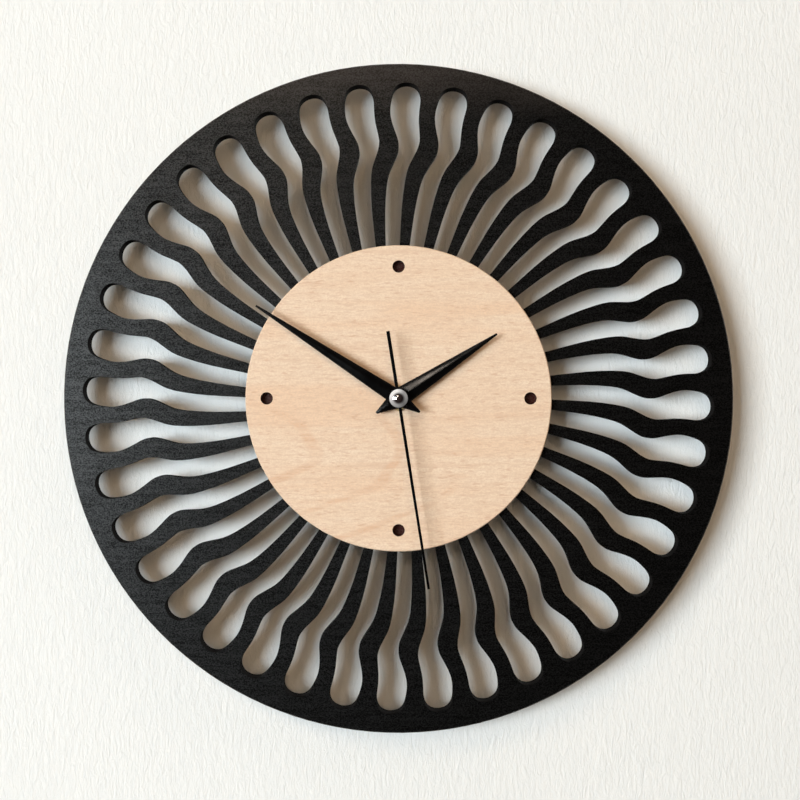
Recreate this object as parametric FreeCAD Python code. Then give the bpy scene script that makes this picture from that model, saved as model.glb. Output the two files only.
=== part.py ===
"""A quartz wall clock: a black wooden ring cut through by forty wavy slots, with a plain
birch disc over its middle and a sealed quartz movement behind it.

Frame: the front faces -Y, +Z is up and +X is to the right of someone reading the clock.
The origin is on the hands' shaft, on the back of the movement, where the clock touches the
wall. Depths are counted from the wall towards the reader. Clock angles are in degrees,
clockwise from twelve as seen from the front. Lengths are in millimetres.
"""
import FreeCAD, Part
import math
import os

from FreeCAD import Vector

FULL_TURN = 360.0
AHEAD = Vector(0, -1, 0)
SHAFT = Vector(0, 1, 0)
ALONG = Vector(1, 0, 0)
CENTRE = Vector(0, 0, 0)

# Slotted ring
RING_DIAMETER = 300.0
RING_THICKNESS = 8.0
RIM_WIDTH = 8.4
RIM_CHAMFER = 0.4
SLOT_COUNT = 40
FIRST_SLOT_ANGLE = 1.5
SLOT_COVER = 4.2

# The slot's edge from its inner end out to its outer end and back: where the point lies
# between the two radii, and how far it is turned clockwise, as shares of the slot pitch.
SLOT_EDGE_SHARES = (
    (0.000, -0.744),
    (0.206, -0.650),
    (0.387, -0.548),
    (0.477, -0.450),
    (0.554, -0.283),
    (0.634, -0.164),
    (0.735, -0.276),
    (0.818, -0.350),
    (0.915, -0.320),
    (0.974, -0.228),
    (1.000, 0.000),
    (0.974, 0.228),
    (0.928, 0.296),
    (0.844, 0.291),
    (0.747, 0.322),
    (0.670, 0.356),
    (0.606, 0.294),
    (0.522, 0.122),
    (0.425, 0.017),
    (0.258, -0.069),
    (0.000, -0.156),
)

# Birch disc
FACE_DIAMETER = 136.4
FACE_THICKNESS = 4.0
DOT_DIAMETER = 5.5
DOT_INSET = 9.5
DOT_COUNT = 4

# Battery, of the common AA size, which sets the size of the movement
BATTERY_RADIUS = 7.0
BATTERY_LENGTH = 49.3
BATTERY_NUB_RADIUS = 2.75
BATTERY_NUB = 1.2
BATTERY_EDGE = 0.6
BATTERY_REAR = 0.6
BATTERY_GAP = 0.2

# Battery contacts
CONTACT_THICKNESS = 0.3
CONTACT_WIDTH = 6.0
STRAP_WIDTH = 1.0
TONGUE_ROOM = 2.8

# Movement case
CASE_WALL = 1.2
CASE_CORNER = 2.0
WINDOW_GAP = 0.75
WINDOW_CORNER = 2.6
BAY_WALL = 1.0
ROOM_MARGIN = 3.25
BAY_NOTCH = 0.6
POST_INSET = 5.0
POST_RADIUS = 1.5
BOSS_WALL = 0.7
BOSS_HEIGHT = 1.0
PIVOT_DEPTH = 1.5
PIVOT_GAP = 0.05
SEAT_GAP = 0.1
PLATE_THICKNESS = 1.0

# Concentric shafts of the hands, each wall added to the one inside it
SECONDS_PIN_RADIUS = 0.5
SHAFT_GAP = 0.05
CENTRE_SEAT_WALL = 0.55
MINUTE_SEAT_WALL = 0.75
MINUTE_SHOULDER = 0.35
HOUR_TUBE_WALL = 0.8
BUSH_WALL = 1.45
BUSH_LIP = 1.5
BUSH_FLANGE = 0.8
BUSH_GAP = 0.1
BUSH_PROUD = 0.6
TUBE_PROUD = 0.4

# What the bush clamps
WASHER_RADIUS = 9.0
WASHER_THICKNESS = 1.0
NUT_WALL = 1.0
NUT_THICKNESS = 2.0

# Small pieces on the shafts, by how far each stands out round the shaft
COLLAR_WIDTH = 1.1
COLLAR_THICKNESS = 0.3
CLUTCH_WIDTH = 1.5
CLUTCH_THICKNESS = 0.2
HOUR_SPRING_WIDTH = 2.0
HOUR_SPRING_THICKNESS = 0.2
HOUR_SPRING_ROOM = 0.9
LAYER_GAP = 0.15

# Train: where the wheels stand, by centre distance and clock angle
ROTOR_REACH = 5.6
ROTOR_ANGLE = 60.0
INTERMEDIATE_ANGLE = 350.0
THIRD_REACH = 9.0
THIRD_ANGLE = 280.0
MOTION_ANGLE = 70.0
ARBOR_RADIUS = 0.45
ARBOR_CLEARANCE = 0.4
TOOTH_GAP = 0.08
PINION_OVERRUN = 0.2
WHEEL_SHARE = 0.5

# Tooth counts
ROTOR_TEETH = 8
INTERMEDIATE_TEETH = 48
INTERMEDIATE_PINION_TEETH = 10
SECONDS_TEETH = 50
SECONDS_PINION_TEETH = 8
THIRD_TEETH = 64
THIRD_PINION_TEETH = 8
CENTRE_TEETH = 60
CANNON_TEETH = 12
MINUTE_TEETH = 36
MINUTE_PINION_TEETH = 10
HOUR_TEETH = 40
KNOB_TEETH = 12

# Tooth forms: half width at the root and at the tip as shares of the tooth pitch, then
# height above and depth below the pitch circle as shares of the module.
WHEEL_TOOTH_SHARES = (0.30, 0.10, 0.80, 1.05)
PINION_TOOTH_SHARES = (0.24, 0.11, 0.60, 1.10)

# Setting knob
KNOB_RADIUS = 6.0
KNOB_LIP = 0.9
KNOB_GAP = 0.3
KNOB_REAR = 0.3
KNOB_FLANGE = 0.6
KNOB_GRIPS = 24
KNOB_GRIP_RADIUS = 0.35
KNOB_SLOT_WIDTH = 0.9
KNOB_SLOT_DEPTH = 0.4
KNOB_SHAFT_RADIUS = 1.1

# Motor
MAGNET_RADIUS = 3.0
MAGNET_THICKNESS = 2.4
STATOR_THICKNESS = 0.6
STATOR_HOLE_GAP = 0.4
STATOR_RING = 1.3
STATOR_NECK = 0.5
STATOR_BAR = 2.4
CORE_HALF_LENGTH = 12.6
CORE_HEIGHT = 2.4
CORE_THICKNESS = 0.8
COIL_MARGIN = 2.2
COIL_GAP = 1.8
BOBBIN_HALF_LENGTH = 9.2
BOBBIN_HALF_WIDTH = 3.2
BOBBIN_FLANGE = 0.8
BOBBIN_WALL = 0.5
WINDING_MARGIN = 0.3

# Circuit board
BOARD_HEIGHT = 15.7
BOARD_GAP = 0.6
BOARD_THICKNESS = 1.0
CHIP_RADIUS = 2.2
CHIP_HEIGHT = 0.9
CRYSTAL_RADIUS = 1.0
CRYSTAL_LENGTH = 6.0
CRYSTAL_FLAT = 0.12

# Hands
HAND_EDGE = 0.3
HAND_TIP_WIDTH = 0.9
HUB_FLAT = 0.5
HAND_GAP = 0.3
HOUR_HAND_ANGLE = 56.8
HOUR_HAND_LENGTH = 52.0
HOUR_HAND_TAIL = 11.8
HOUR_HAND_HALF_WIDTH = 4.4
HOUR_HAND_RIDGE = 1.05
HOUR_HUB_FLAT_RADIUS = 5.0
MINUTE_HAND_GAP = 1.35
MINUTE_HAND_ANGLE = 303.0
MINUTE_HAND_LENGTH = 75.0
MINUTE_HAND_TAIL = 11.2
MINUTE_HAND_HALF_WIDTH = 3.6
MINUTE_HAND_RIDGE = 0.95
MINUTE_HUB_FLAT_RADIUS = 4.2
SECOND_HAND_GAP = 0.7
SECOND_HAND_ANGLE = 171.0
SECOND_HAND_LENGTH = 84.8
SECOND_HAND_TAIL = 29.9
SECOND_HAND_TAIL_WIDTH = 1.55
SECOND_HAND_TIP_WIDTH = 1.1
SECOND_HAND_THICKNESS = 0.3
SECOND_BOSS_WIDTH = 1.1
COLLET_WALL = 0.9
COLLET_LENGTH = 0.7
MINUTE_NUT_WALL = 1.3
MINUTE_NUT_THICKNESS = 1.1
HUB_TUBE_WALL = 0.4
HUB_TUBE_REACH = 0.5
CAP_RADIUS = 4.05
CAP_HEIGHT = 2.4
CAP_SKIRT = 0.7
CAP_SOCKET_DEPTH = 1.0

# One overrun serves every cut.
OVERRUN = 1.0

# Depths and width of the case, which follow from the battery
CASE_CEILING = BATTERY_REAR + 2 * BATTERY_RADIUS + BATTERY_GAP
CASE_DEPTH = CASE_CEILING + CASE_WALL
INNER_SIDE = (BATTERY_LENGTH + BATTERY_NUB + CONTACT_THICKNESS + TONGUE_ROOM) / 2
CASE_SIDE = INNER_SIDE + CASE_WALL
BOSS_FRONT = CASE_WALL + BOSS_HEIGHT
BOSS_RADIUS = ARBOR_RADIUS + PIVOT_GAP + BOSS_WALL
BATTERY_DEPTH = BATTERY_REAR + BATTERY_RADIUS
BATTERY_PLUS = INNER_SIDE - CONTACT_THICKNESS
BATTERY_MINUS = BATTERY_PLUS - BATTERY_NUB - BATTERY_LENGTH

# Radii of the concentric shafts
CENTRE_SEAT_RADIUS = SECONDS_PIN_RADIUS + SHAFT_GAP + CENTRE_SEAT_WALL
MINUTE_SEAT_RADIUS = SECONDS_PIN_RADIUS + SHAFT_GAP + MINUTE_SEAT_WALL
MINUTE_TUBE_RADIUS = MINUTE_SEAT_RADIUS + MINUTE_SHOULDER
HOUR_TUBE_RADIUS = MINUTE_TUBE_RADIUS + SHAFT_GAP + HOUR_TUBE_WALL
BUSH_RADIUS = HOUR_TUBE_RADIUS + SHAFT_GAP + BUSH_WALL
HUB_TUBE_RADIUS = SECONDS_PIN_RADIUS + HUB_TUBE_WALL

# Depths of the ring, the birch disc and the nut
RING_RADIUS = RING_DIAMETER / 2
RING_FRONT = CASE_DEPTH + WASHER_THICKNESS
RING_REAR = RING_FRONT - RING_THICKNESS
FACE_RADIUS = FACE_DIAMETER / 2
FACE_FRONT = RING_FRONT + FACE_THICKNESS
NUT_FRONT = FACE_FRONT + NUT_THICKNESS
BUSH_REAR = CASE_CEILING - BUSH_FLANGE
BUSH_FRONT = NUT_FRONT + BUSH_PROUD
SLOT_PITCH = FULL_TURN / SLOT_COUNT

# Seven even layers between the back cover's bosses and the hour wheel's spring: four for
# the running train, one for the train plate and two for the wheels that carry the hands.
LAYER_COUNT = 7
LAYER_PITCH = (BUSH_REAR - HOUR_SPRING_ROOM - BOSS_FRONT) / LAYER_COUNT
WHEEL_THICKNESS = WHEEL_SHARE * LAYER_PITCH
ROTOR_LAYER, SECONDS_LAYER, THIRD_LAYER, CENTRE_LAYER, PLATE_LAYER, MINUTE_LAYER, HOUR_LAYER = (
    BOSS_FRONT + number * LAYER_PITCH + (LAYER_PITCH - WHEEL_THICKNESS) / 2
    for number in range(LAYER_COUNT)
)
PLATE_REAR = PLATE_LAYER + (WHEEL_THICKNESS - PLATE_THICKNESS) / 2
PLATE_FRONT = PLATE_REAR + PLATE_THICKNESS
CENTRE_WHEEL_FRONT = CENTRE_LAYER + WHEEL_THICKNESS
CLUTCH_REAR = CENTRE_LAYER - CLUTCH_THICKNESS

# Depths of the motor and the circuit board, which both lie against the train plate
CORE_MIDDLE = PLATE_REAR - BOBBIN_HALF_WIDTH
CORE_REAR = CORE_MIDDLE - CORE_THICKNESS / 2
STATOR_REAR = CORE_REAR + CORE_THICKNESS
MAGNET_REAR = STATOR_REAR + (STATOR_THICKNESS - MAGNET_THICKNESS) / 2
BOARD_REAR = PLATE_REAR - BOARD_THICKNESS
BOARD_RIGHT = -CORE_HALF_LENGTH - BOARD_GAP
BOARD_MIDDLE = (BOARD_RIGHT - INNER_SIDE) / 2

# Depths of the hands, each clear of what is behind it
HOUR_HAND_DEPTH = BUSH_FRONT + HAND_GAP + COLLET_LENGTH
HOUR_TUBE_FRONT = HOUR_HAND_DEPTH + HUB_FLAT + TUBE_PROUD
MINUTE_HAND_DEPTH = HOUR_HAND_DEPTH + HOUR_HAND_RIDGE + MINUTE_HAND_GAP
MINUTE_NUT_REAR = MINUTE_HAND_DEPTH + HUB_FLAT
MINUTE_NUT_FRONT = MINUTE_NUT_REAR + MINUTE_NUT_THICKNESS
SECOND_HAND_DEPTH = MINUTE_NUT_FRONT + SECOND_HAND_GAP
SECOND_HAND_FRONT = SECOND_HAND_DEPTH + SECOND_HAND_THICKNESS
HUB_TUBE_FRONT = SECOND_HAND_FRONT + HUB_TUBE_REACH


def spot(radius, angle, depth=0.0):
    """Point at a clock angle and radius from the shaft, at a depth from the wall."""
    turn = math.radians(angle)
    return Vector(radius * math.sin(turn), -depth, radius * math.cos(turn))


def drum(radius, rear, front, at=CENTRE):
    """Round bar along the shaft's direction, about a point, between two depths."""
    base = Vector(at.x, -rear, at.z)
    return Part.makeCylinder(radius, front - rear, base, AHEAD)


def pipe(outer, inner, rear, front, at=CENTRE):
    """Round tube between two depths."""
    bore = drum(inner, rear - OVERRUN, front + OVERRUN, at)
    return drum(outer, rear, front, at).cut(bore)


def block(left, right, foot, top, rear, front):
    """Square-edged block between two depths."""
    size = (right - left, front - rear, top - foot)
    return Part.makeBox(*size, Vector(left, -front, foot))


def slab(points, rear, front):
    """Straight-sided plate whose corners are given as x and z."""
    corners = [Vector(x, -rear, z) for x, z in points]
    face = Part.Face(Part.makePolygon(corners + corners[:1]))
    return face.extrude(AHEAD * (front - rear))


def rounded_block(left, right, foot, top, rear, front, corner):
    """Block whose four edges along the depth are rounded."""
    body = block(left, right, foot, top, rear, front)
    edges = [edge for edge in body.Edges if abs(edge.tangentAt(edge.FirstParameter).y) > 0.5]
    return body.makeFillet(corner, edges)


def joined(shapes):
    """One solid made of overlapping or touching shapes."""
    body = shapes[0]
    for extra in shapes[1:]:
        body = body.fuse(extra)
    return body.removeSplitter()


def spun(shape, angle, at=CENTRE):
    """Copy of a shape turned clockwise, as seen from the front, about a point."""
    turned = shape.copy()
    turned.rotate(at, SHAFT, angle)
    return turned


def save(name, shape):
    """Write one sub-part, as one solid where it is one."""
    if len(shape.Solids) == 1:
        shape = shape.Solids[0]
    shape.exportStep("parts/" + name + ".step")
    print(name, len(shape.Solids), "volume", round(shape.Volume, 2), shape.isValid())


# Toothed wheels

class Mesh:
    """Two wheels that mesh: where they stand, their module and how each is turned."""

    def __init__(self, first, first_teeth, first_turn, second, second_teeth):
        line = second - first
        self.reach = line.Length
        self.module = 2 * self.reach / (first_teeth + second_teeth)
        heading = math.degrees(math.atan2(line.x, line.z))
        ahead = (first_turn - heading) * first_teeth / FULL_TURN
        half_turn = FULL_TURN / 2
        self.second_turn = heading + half_turn + (0.5 - ahead) * FULL_TURN / second_teeth


def toothed(teeth, module, tooth_shares, rear, front, at=CENTRE, turn=0.0):
    """Wheel with straight-flanked teeth, the first of them turned to a clock angle."""
    half_root, half_tip, above, below = tooth_shares
    pitch = FULL_TURN / teeth
    pitch_radius = module * teeth / 2
    root = pitch_radius - below * module
    tip = pitch_radius + above * module
    corners = ((root, -half_root), (tip, -half_tip), (tip, half_tip), (root, half_root))
    points = []
    for tooth in range(teeth):
        for radius, share in corners:
            corner = spot(radius, turn + (tooth + share) * pitch) + at
            points.append((corner.x, corner.z))
    return slab(points, rear, front)


# The intermediate arbor passes just outside the centre wheel's teeth.
CENTRE_MODULE = 2 * THIRD_REACH / (THIRD_PINION_TEETH + CENTRE_TEETH)
CENTRE_TIP = (CENTRE_TEETH / 2 + WHEEL_TOOTH_SHARES[2]) * CENTRE_MODULE
INTERMEDIATE_REACH = CENTRE_TIP + ARBOR_RADIUS + ARBOR_CLEARANCE

# The minute wheel's teeth pass just outside the minute tube.
MOTION_MODULE = (MINUTE_TUBE_RADIUS + TOOTH_GAP) / (CANNON_TEETH / 2 - WHEEL_TOOTH_SHARES[2])
MOTION_REACH = MOTION_MODULE * (CANNON_TEETH + MINUTE_TEETH) / 2

INTERMEDIATE_AT = spot(INTERMEDIATE_REACH, INTERMEDIATE_ANGLE)
ROTOR_AT = INTERMEDIATE_AT + spot(ROTOR_REACH, ROTOR_ANGLE)
THIRD_AT = spot(THIRD_REACH, THIRD_ANGLE)
MINUTE_AT = spot(MOTION_REACH, MOTION_ANGLE)
KNOB_AT = spot(2 * MOTION_REACH, MOTION_ANGLE)

# Heights in the case: the coil lies above the rotor, the battery's bay below the wheels.
STATOR_HOLE = MAGNET_RADIUS + STATOR_HOLE_GAP
STATOR_EYE = STATOR_HOLE + STATOR_RING
COIL_HEIGHT = ROTOR_AT.z + STATOR_EYE + COIL_GAP + BOBBIN_HALF_WIDTH
STATOR_BAR_TOP = COIL_HEIGHT - BOBBIN_HALF_WIDTH - BOARD_GAP
STATOR_BAR_FOOT = STATOR_BAR_TOP - STATOR_BAR
INNER_TOP = COIL_HEIGHT + BOBBIN_HALF_WIDTH + COIL_MARGIN
ROOM_FOOT = -CENTRE_TIP - ROOM_MARGIN
BAY_TOP = ROOM_FOOT - BAY_WALL
BATTERY_HEIGHT = BAY_TOP - BATTERY_GAP - BATTERY_RADIUS
INNER_FOOT = BATTERY_HEIGHT - BATTERY_RADIUS - BATTERY_GAP
CASE_TOP = INNER_TOP + CASE_WALL
CASE_FOOT = INNER_FOOT - CASE_WALL
BOARD_FOOT = INNER_TOP - SEAT_GAP - BOARD_HEIGHT

# Each pair's second wheel is turned so that its tooth meets a gap of the first.
SECONDS_MESH = Mesh(CENTRE, SECONDS_TEETH, 0.0, INTERMEDIATE_AT, INTERMEDIATE_PINION_TEETH)
INTERMEDIATE_TURN = SECONDS_MESH.second_turn
ROTOR_MESH = Mesh(INTERMEDIATE_AT, INTERMEDIATE_TEETH, INTERMEDIATE_TURN, ROTOR_AT, ROTOR_TEETH)
THIRD_MESH = Mesh(CENTRE, SECONDS_PINION_TEETH, 0.0, THIRD_AT, THIRD_TEETH)
THIRD_TURN = THIRD_MESH.second_turn
CENTRE_MESH = Mesh(THIRD_AT, THIRD_PINION_TEETH, THIRD_TURN, CENTRE, CENTRE_TEETH)
MINUTE_MESH = Mesh(CENTRE, CANNON_TEETH, 0.0, MINUTE_AT, MINUTE_TEETH)
MINUTE_TURN = MINUTE_MESH.second_turn
HOUR_MESH = Mesh(MINUTE_AT, MINUTE_PINION_TEETH, MINUTE_TURN, CENTRE, HOUR_TEETH)
KNOB_MESH = Mesh(MINUTE_AT, MINUTE_TEETH, MINUTE_TURN, KNOB_AT, KNOB_TEETH)


def wheel_at(layer, teeth, mesh_module, at, turn):
    return toothed(teeth, mesh_module, WHEEL_TOOTH_SHARES, layer, layer + WHEEL_THICKNESS, at, turn)


def pinion_at(rear, front, teeth, mesh_module, at, turn):
    return toothed(teeth, mesh_module, PINION_TOOTH_SHARES, rear, front, at, turn)


def rear_arbor(at, front):
    """Arbor from its pivot in the back cover to its pivot in the train plate."""
    return drum(ARBOR_RADIUS, CASE_WALL + SEAT_GAP, front, at)


# Ring and birch disc

def slot_wire():
    """Closed edge of one slot, turned to its first place."""
    inner = FACE_RADIUS - SLOT_COVER
    outer = RING_RADIUS - RIM_WIDTH
    points = []
    for radius_share, turn_share in SLOT_EDGE_SHARES:
        radius = inner + radius_share * (outer - inner)
        points.append(spot(radius, FIRST_SLOT_ANGLE + turn_share * SLOT_PITCH, RING_REAR))
    side = Part.BSplineCurve()
    side.interpolate(points)
    first, last = points[0], points[-1]
    middle = (first + last) * 0.5
    outward = Vector(middle.x, 0, middle.z).normalize()
    tip = middle - outward * ((last - first).Length / 2)
    end = Part.Arc(last, tip, first)
    return Part.Wire([side.toShape(), end.toShape()])


def wave_ring():
    rim = Part.Wire(Part.makeCircle(RING_RADIUS, Vector(0, -RING_REAR, 0), AHEAD))
    body = Part.Face(rim).extrude(AHEAD * RING_THICKNESS)
    edges = [edge for edge in body.Edges if edge.Curve.TypeId == "Part::GeomCircle"]
    body = body.makeChamfer(RIM_CHAMFER, edges)
    first_slot = slot_wire()
    cutters = []
    for number in range(SLOT_COUNT):
        wire = spun(first_slot, number * SLOT_PITCH)
        wire.translate(-AHEAD * OVERRUN)
        cutters.append(Part.Face(wire).extrude(AHEAD * (RING_THICKNESS + 2 * OVERRUN)))
    side = CASE_SIDE + WINDOW_GAP
    foot, top = CASE_FOOT - WINDOW_GAP, CASE_TOP + WINDOW_GAP
    rear, front = RING_REAR - OVERRUN, RING_FRONT + OVERRUN
    cutters.append(rounded_block(-side, side, foot, top, rear, front, WINDOW_CORNER))
    return body.cut(cutters)


def face_disc():
    body = drum(FACE_RADIUS, RING_FRONT, FACE_FRONT)
    front_rim = [edge for edge in body.Edges if abs(edge.CenterOfMass.y + FACE_FRONT) < SEAT_GAP]
    body = body.makeChamfer(RIM_CHAMFER, [edge for edge in front_rim if len(edge.Vertexes) == 1])
    rear, front = RING_FRONT - OVERRUN, FACE_FRONT + OVERRUN
    holes = [drum(BUSH_RADIUS + BUSH_GAP, rear, front)]
    for number in range(DOT_COUNT):
        at = spot(FACE_RADIUS - DOT_INSET, number * FULL_TURN / DOT_COUNT)
        holes.append(drum(DOT_DIAMETER / 2, rear, front, at))
    return body.cut(holes)


# Movement case

def post_places():
    """Corners of the gear room where the cover's posts clamp the train plate."""
    side = INNER_SIDE - POST_INSET
    top = INNER_TOP - POST_INSET
    foot = ROOM_FOOT + POST_INSET
    return (Vector(side, 0, top), Vector(side, 0, foot), Vector(-side, 0, foot))


def front_case():
    shell = rounded_block(-CASE_SIDE, CASE_SIDE, CASE_FOOT, CASE_TOP,
                          CASE_WALL, CASE_DEPTH, CASE_CORNER)
    hollow = block(-INNER_SIDE, INNER_SIDE, INNER_FOOT, INNER_TOP,
                   CASE_WALL - OVERRUN, CASE_CEILING)
    body = shell.cut(hollow)
    wall = block(-INNER_SIDE + BAY_NOTCH, INNER_SIDE - BAY_NOTCH, BAY_TOP, ROOM_FOOT,
                 CASE_WALL, CASE_CEILING)
    body = body.fuse([wall])
    posts = [drum(POST_RADIUS, PLATE_FRONT, CASE_CEILING, at) for at in post_places()]
    body = body.fuse(posts)
    pivots = (MINUTE_AT, KNOB_AT)
    body = body.fuse([drum(BOSS_RADIUS, CASE_CEILING - BOSS_HEIGHT, CASE_CEILING, at) for at in pivots])
    holes = [drum(BUSH_RADIUS, CASE_CEILING - OVERRUN, CASE_DEPTH + OVERRUN)]
    rear = CASE_CEILING - BOSS_HEIGHT - OVERRUN
    front = CASE_CEILING - BOSS_HEIGHT + PIVOT_DEPTH
    holes += [drum(ARBOR_RADIUS + PIVOT_GAP, rear, front, at) for at in pivots]
    return body.cut(holes).removeSplitter()


def back_cover():
    body = rounded_block(-CASE_SIDE, CASE_SIDE, BAY_TOP, CASE_TOP, 0.0, CASE_WALL, CASE_CORNER)
    pivots = (INTERMEDIATE_AT, ROTOR_AT, THIRD_AT, CENTRE)
    body = body.fuse([drum(BOSS_RADIUS, 0.0, BOSS_FRONT, at) for at in pivots])
    body = body.fuse([drum(POST_RADIUS, 0.0, PLATE_REAR, at) for at in post_places()])
    holes = [drum(ARBOR_RADIUS + PIVOT_GAP, CASE_WALL, BOSS_FRONT + OVERRUN, at) for at in pivots[:3]]
    holes.append(drum(SECONDS_PIN_RADIUS + PIVOT_GAP, CASE_WALL, BOSS_FRONT + OVERRUN))
    holes.append(drum(KNOB_RADIUS + KNOB_GAP, -OVERRUN, BOSS_FRONT, KNOB_AT))
    return body.cut(holes).removeSplitter()


def train_plate():
    side = INNER_SIDE - SEAT_GAP
    top = INNER_TOP - SEAT_GAP
    body = block(-side, side, ROOM_FOOT + STRAP_WIDTH, top, PLATE_REAR, PLATE_FRONT)
    rear, front = PLATE_REAR - OVERRUN, PLATE_FRONT + OVERRUN
    pivot = ARBOR_RADIUS + PIVOT_GAP
    holes = [drum(pivot, rear, front, at) for at in (INTERMEDIATE_AT, ROTOR_AT, THIRD_AT, MINUTE_AT)]
    holes.append(drum(MINUTE_TUBE_RADIUS + SHAFT_GAP, rear, front))
    holes.append(drum(KNOB_SHAFT_RADIUS + SHAFT_GAP, rear, front, KNOB_AT))
    return body.cut(holes)


def threaded_bush():
    flange = drum(BUSH_RADIUS + BUSH_LIP, BUSH_REAR, CASE_CEILING)
    barrel = drum(BUSH_RADIUS, BUSH_REAR, BUSH_FRONT)
    bore = drum(HOUR_TUBE_RADIUS + SHAFT_GAP, BUSH_REAR - OVERRUN, BUSH_FRONT + OVERRUN)
    return joined([flange, barrel]).cut(bore)


def shaft_nut():
    sides = 6
    corner = (BUSH_RADIUS + NUT_WALL) / math.cos(math.pi / sides)
    points = [spot(corner, number * FULL_TURN / sides) for number in range(sides)]
    body = slab([(point.x, point.z) for point in points], FACE_FRONT, NUT_FRONT)
    return body.cut(drum(BUSH_RADIUS, FACE_FRONT - OVERRUN, NUT_FRONT + OVERRUN))


# Motor and circuit

def stator():
    outer = STATOR_EYE
    arm = CORE_HALF_LENGTH - BOBBIN_HALF_LENGTH - SEAT_GAP
    top = COIL_HEIGHT + CORE_HEIGHT / 2
    left, right = -CORE_HALF_LENGTH, CORE_HALF_LENGTH
    shoulder = outer * math.cos(math.pi / 6)
    points = ((left, top), (left + arm, top), (left + arm, STATOR_BAR_TOP),
              (right - arm, STATOR_BAR_TOP), (right - arm, top), (right, top),
              (right, STATOR_BAR_FOOT), (ROTOR_AT.x + shoulder, ROTOR_AT.z - outer / 2),
              (ROTOR_AT.x - shoulder, ROTOR_AT.z - outer / 2), (left, STATOR_BAR_FOOT))
    front = STATOR_REAR + STATOR_THICKNESS
    bar = slab(points, STATOR_REAR, front)
    body = bar.fuse([drum(outer, STATOR_REAR, front, ROTOR_AT)]).removeSplitter()
    rear = STATOR_REAR - OVERRUN
    beyond = front + OVERRUN
    holes = [drum(STATOR_HOLE, rear, beyond, ROTOR_AT)]
    notch = outer - STATOR_NECK
    for side in (-1, 1):
        low, high = sorted((ROTOR_AT.z, ROTOR_AT.z + side * notch))
        half = STATOR_NECK / 2
        holes.append(block(ROTOR_AT.x - half, ROTOR_AT.x + half, low, high, rear, beyond))
    return body.cut(holes)


def coil_core():
    half = CORE_HEIGHT / 2
    return block(-CORE_HALF_LENGTH, CORE_HALF_LENGTH, COIL_HEIGHT - half, COIL_HEIGHT + half,
                 CORE_REAR, CORE_REAR + CORE_THICKNESS)


def bobbin_tube(half_height, half_depth, half_length):
    return block(-half_length, half_length, COIL_HEIGHT - half_height, COIL_HEIGHT + half_height,
                 CORE_MIDDLE - half_depth, CORE_MIDDLE + half_depth)


BOBBIN_TUBE_HALF_HEIGHT = CORE_HEIGHT / 2 + BOBBIN_WALL
BOBBIN_TUBE_HALF_DEPTH = CORE_THICKNESS / 2 + BOBBIN_WALL


def coil_bobbin():
    tube = bobbin_tube(BOBBIN_TUBE_HALF_HEIGHT, BOBBIN_TUBE_HALF_DEPTH, BOBBIN_HALF_LENGTH)
    cheek = bobbin_tube(BOBBIN_HALF_WIDTH, BOBBIN_HALF_WIDTH, BOBBIN_FLANGE / 2)
    offset = BOBBIN_HALF_LENGTH - BOBBIN_FLANGE / 2
    cheeks = [cheek.translated(Vector(side * offset, 0, 0)) for side in (-1, 1)]
    body = joined([tube] + cheeks)
    return body.cut(bobbin_tube(CORE_HEIGHT / 2, CORE_THICKNESS / 2, BOBBIN_HALF_LENGTH + OVERRUN))


def coil_winding():
    half = BOBBIN_HALF_LENGTH - BOBBIN_FLANGE
    start = Vector(-half, -CORE_MIDDLE, COIL_HEIGHT)
    body = Part.makeCylinder(BOBBIN_HALF_WIDTH - WINDING_MARGIN, 2 * half, start, ALONG)
    return body.cut(bobbin_tube(BOBBIN_TUBE_HALF_HEIGHT, BOBBIN_TUBE_HALF_DEPTH, half + OVERRUN))


def rotor_magnet():
    front = MAGNET_REAR + MAGNET_THICKNESS
    return pipe(MAGNET_RADIUS, ARBOR_RADIUS, MAGNET_REAR, front, ROTOR_AT)


def rotor_pinion():
    arbor = rear_arbor(ROTOR_AT, PLATE_FRONT)
    leaves = pinion_at(ROTOR_LAYER - PINION_OVERRUN, MAGNET_REAR, ROTOR_TEETH, ROTOR_MESH.module,
                       ROTOR_AT, ROTOR_MESH.second_turn)
    return joined([arbor, leaves])


def circuit_board():
    left = CONTACT_THICKNESS - INNER_SIDE
    top = INNER_TOP - SEAT_GAP
    return block(left, BOARD_RIGHT, BOARD_FOOT, top, BOARD_REAR, PLATE_REAR)


def controller_chip():
    at = Vector(BOARD_MIDDLE, 0, BOARD_FOOT + 2 * CHIP_RADIUS)
    body = drum(CHIP_RADIUS, BOARD_REAR - CHIP_HEIGHT, BOARD_REAR, at)
    rear_rim = [edge for edge in body.Edges if edge.CenterOfMass.y > -BOARD_REAR + CHIP_HEIGHT / 2]
    rims = [edge for edge in rear_rim if len(edge.Vertexes) == 1]
    return body.makeFillet(CHIP_HEIGHT / 2, rims)


def quartz_crystal():
    depth = BOARD_REAR - CRYSTAL_RADIUS + CRYSTAL_FLAT
    foot = BOARD_FOOT + 5 * CHIP_RADIUS
    start = Vector(BOARD_MIDDLE - CRYSTAL_LENGTH / 2, -depth, foot)
    body = Part.makeCylinder(CRYSTAL_RADIUS, CRYSTAL_LENGTH, start, ALONG)
    waste = block(-CASE_SIDE, 0.0, BOARD_FOOT, CASE_TOP, BOARD_REAR, PLATE_REAR)
    return body.cut(waste)


# Battery and contacts

def battery():
    start = Vector(BATTERY_MINUS, -BATTERY_DEPTH, BATTERY_HEIGHT)
    can = Part.makeCylinder(BATTERY_RADIUS, BATTERY_LENGTH, start, ALONG)
    rims = [edge for edge in can.Edges if edge.Curve.TypeId == "Part::GeomCircle"]
    can = can.makeFillet(BATTERY_EDGE, rims)
    nub = Part.makeCylinder(BATTERY_NUB_RADIUS, BATTERY_LENGTH + BATTERY_NUB, start, ALONG)
    return joined([can, nub])


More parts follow.
